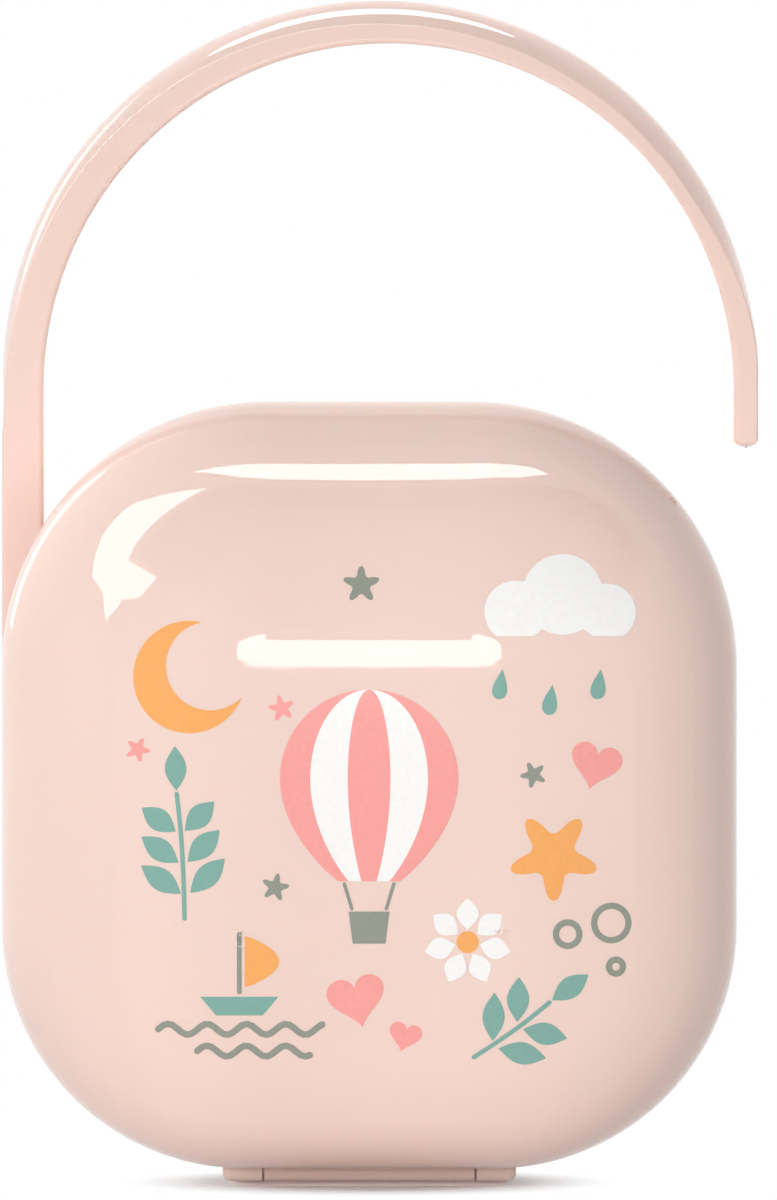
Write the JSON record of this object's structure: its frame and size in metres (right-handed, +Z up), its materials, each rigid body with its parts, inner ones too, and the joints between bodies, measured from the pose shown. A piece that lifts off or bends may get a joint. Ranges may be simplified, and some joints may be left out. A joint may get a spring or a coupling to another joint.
{
  "type": "pacifier sterilizer case",
  "caption": "Hanging steam sterilizer case for soothers: centre frame with an open hook handle, domed covers hinged at the foot, rim seals and slotted inner trays.",
  "frame": {"origin": "middle of the foot's flat sole", "axes": "+Z up towards the hook, -Y out of the front cover, +X towards the hook's free tip"},
  "size_m": [0.0981, 0.0666, 0.1539],
  "materials": {
    "shell_plastic": "high gloss moulded polypropylene, pale pink",
    "frame_plastic": "gloss moulded polypropylene, pale pink",
    "foot_plastic": "satin moulded polypropylene, dusky pink",
    "pad_silicone": "matt silicone, dusky pink",
    "seal_silicone": "matt translucent white silicone",
    "tray_plastic": "fine satin polypropylene, white",
    "pin_plastic": "satin acetal, natural white"
  },
  "bodies": {
    "case": {"centre_frame": "frame_plastic", "divider": "frame_plastic", "carry_handle": "shell_plastic", "handle_rivets": "frame_plastic", "hinge_foot": "foot_plastic", "foot_rivets": "frame_plastic", "foot_pad": "pad_silicone", "front_seal": "seal_silicone", "rear_seal": "seal_silicone", "front_tray": "tray_plastic", "rear_tray": "tray_plastic"},
    "front_lid": {"front_cover": "shell_plastic", "front_hinge_pin": "pin_plastic"},
    "rear_lid": {"rear_cover": "shell_plastic", "rear_hinge_pin": "pin_plastic"}
  },
  "joints": [
    {"name": "front_cover_hinge", "type": "hinge", "parent": "case", "child": "front_lid", "pos_m": [0, -0.0113, 0.0026], "axis": [1, 0, 0], "range_deg": [0, 105]},
    {"name": "rear_cover_hinge", "type": "hinge", "parent": "case", "child": "rear_lid", "pos_m": [0, 0.0113, 0.0026], "axis": [-1, 0, 0], "range_deg": [0, 105]}
  ]
}
